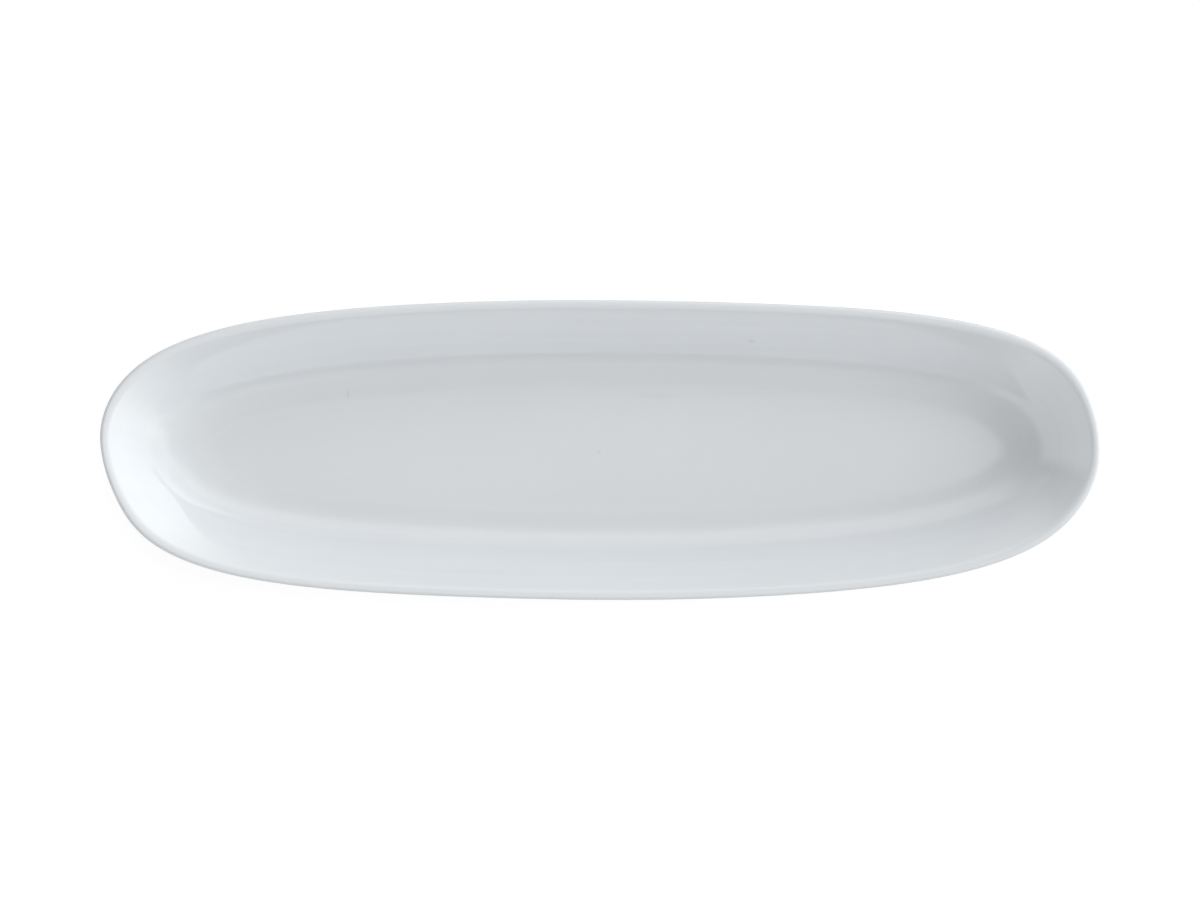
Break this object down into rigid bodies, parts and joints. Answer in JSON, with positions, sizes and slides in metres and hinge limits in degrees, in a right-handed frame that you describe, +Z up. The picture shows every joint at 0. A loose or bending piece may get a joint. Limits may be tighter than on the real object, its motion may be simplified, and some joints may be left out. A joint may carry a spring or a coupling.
{
  "type": "asparagus plate",
  "caption": "Long, narrow oval asparagus plate in glossy white porcelain: flat well, sloping wall and rounded rim on a bare foot ring, for serving spears laid flat.",
  "frame": {"origin": "under the middle of the plan, on the standing face of the foot ring", "axes": "+X along the plate's length, +Y across its width, +Z up out of the well"},
  "size_m": [0.4, 0.12, 0.033],
  "materials": {
    "biscuit_porcelain": "matt, fired and bare, ground smooth on the foot",
    "white_glaze": "high gloss cool white glaze"
  },
  "bodies": {
    "root": {"porcelain_body": "biscuit_porcelain", "glaze_coat": "white_glaze", "foot_recess_glaze": "white_glaze"}
  },
  "joints": []
}
